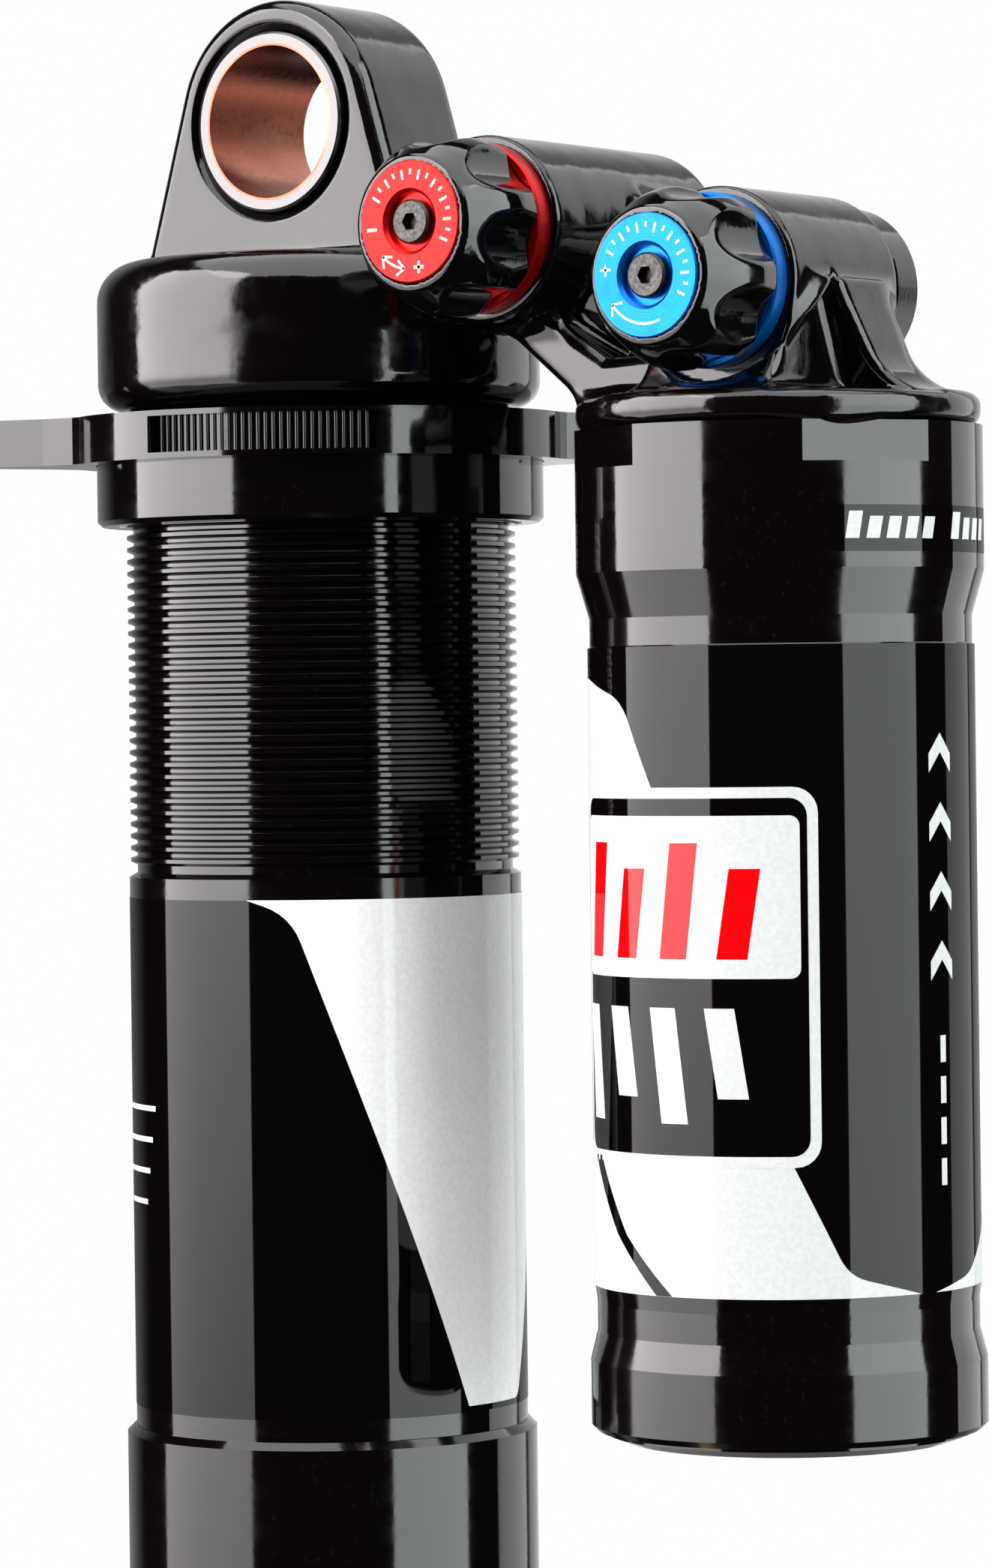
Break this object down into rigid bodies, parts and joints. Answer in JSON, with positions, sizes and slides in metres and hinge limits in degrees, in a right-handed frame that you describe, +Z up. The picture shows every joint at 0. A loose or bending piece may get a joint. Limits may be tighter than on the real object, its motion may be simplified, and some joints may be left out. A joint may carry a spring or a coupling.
{
  "type": "rear shock",
  "caption": "Piggyback coil-over rear shock for a mountain bike, without its spring: threaded body, sliding shaft, preload collar, damping knobs and reservoir.",
  "frame": {"origin": "centre of the upper eyelet bore", "axes": "+Z up along the damper axis, with the shaft leaving towards -Z; Y along the eyelet bores, with the knobs facing -Y; +X towards the reservoir"},
  "size_m": [0.0896, 0.0532, 0.2604],
  "materials": {
    "cast_black": "gloss black paint over a casting",
    "black_anodised": "polished black anodised",
    "gloss_black_knob": "gloss",
    "red_anodised": "bright anodised",
    "blue_anodised": "bright anodised",
    "steel": "fine turned",
    "chromed_steel": "hard chromed and polished",
    "bronze": "sintered bronze",
    "brass": "machined",
    "aluminium": "machined",
    "rubber": "matte",
    "band_plastic": "matte",
    "bumper_foam": "matte microcellular foam"
  },
  "bodies": {
    "damper": {"upper_head": "cast_black", "upper_bushing": "bronze", "body_tube": "black_anodised", "lower_sleeve": "black_anodised", "seal_head": "black_anodised", "seal_head_o_ring": "rubber", "wiper_seal": "rubber", "shaft_seal": "rubber", "shaft_guide": "bronze", "reservoir_tube": "black_anodised", "reservoir_o_ring": "rubber", "reservoir_end_plug": "black_anodised", "air_valve": "brass", "air_valve_cap": "black_anodised", "barrel_end_plug": "black_anodised", "compression_valve": "aluminium", "rebound_knob_ring": "red_anodised", "compression_knob_ring": "blue_anodised"},
    "shaft_assembly": {"shaft": "chromed_steel", "main_piston": "aluminium", "piston_band": "band_plastic", "compression_shims": "steel", "rebound_shims": "steel", "piston_nut": "steel", "bottom_out_bumper": "bumper_foam", "spring_retainer": "black_anodised", "lower_eyelet": "black_anodised", "lower_bushing": "bronze"},
    "floating_piston": {"floating_piston": "aluminium", "floating_piston_ring": "band_plastic"},
    "spring_pilot": {"spring_pilot_ring": "black_anodised"},
    "preload_collar": {"preload_collar": "black_anodised"},
    "rebound_adjuster": {"rebound_knob": "gloss_black_knob", "rebound_knob_disc": "red_anodised", "rebound_knob_screw": "steel", "rebound_spindle": "steel"},
    "compression_adjuster": {"compression_knob": "gloss_black_knob", "compression_knob_disc": "blue_anodised", "compression_knob_screw": "steel", "compression_spindle": "steel"},
    "beginning_rebound_adjuster": {"beginning_rebound_dial": "red_anodised"}
  },
  "joints": [
    {"name": "shaft_travel", "type": "slide", "parent": "damper", "child": "shaft_assembly", "axis": [0, 0, 1], "range_m": [0, 0.076]},
    {"name": "floating_piston_travel", "type": "slide", "parent": "damper", "child": "floating_piston", "axis": [0, 0, -1], "range_m": [0, 0.0144]},
    {"name": "preload_travel", "type": "slide", "parent": "damper", "child": "spring_pilot", "axis": [0, 0, -1], "range_m": [0, 0.0101]},
    {"name": "preload_turn", "type": "hinge", "parent": "spring_pilot", "child": "preload_collar", "pos_m": [0, 0, -0.0264], "axis": [0, 0, 1], "range_deg": [0, 3600]},
    {"name": "ending_rebound", "type": "hinge", "parent": "damper", "child": "rebound_adjuster", "pos_m": [0.025, -0.0152, -0.0106], "axis": [0, 1, 0], "range_deg": [-540, 540]},
    {"name": "compression", "type": "hinge", "parent": "damper", "child": "compression_adjuster", "pos_m": [0.0464, -0.0134, -0.0159], "axis": [0, 1, 0], "range_deg": [-360, 360]},
    {"name": "beginning_rebound", "type": "hinge", "parent": "shaft_assembly", "child": "beginning_rebound_adjuster", "pos_m": [0.013, 0, -0.2265], "axis": [1, 0, 0], "range_deg": [-270, 270]}
  ],
  "couplings": [
    {"joint": "floating_piston_travel", "follows": "shaft_travel", "ratio": 0.1863},
    {"joint": "preload_travel", "follows": "preload_turn", "m_per_rad": 0.00015915}
  ]
}
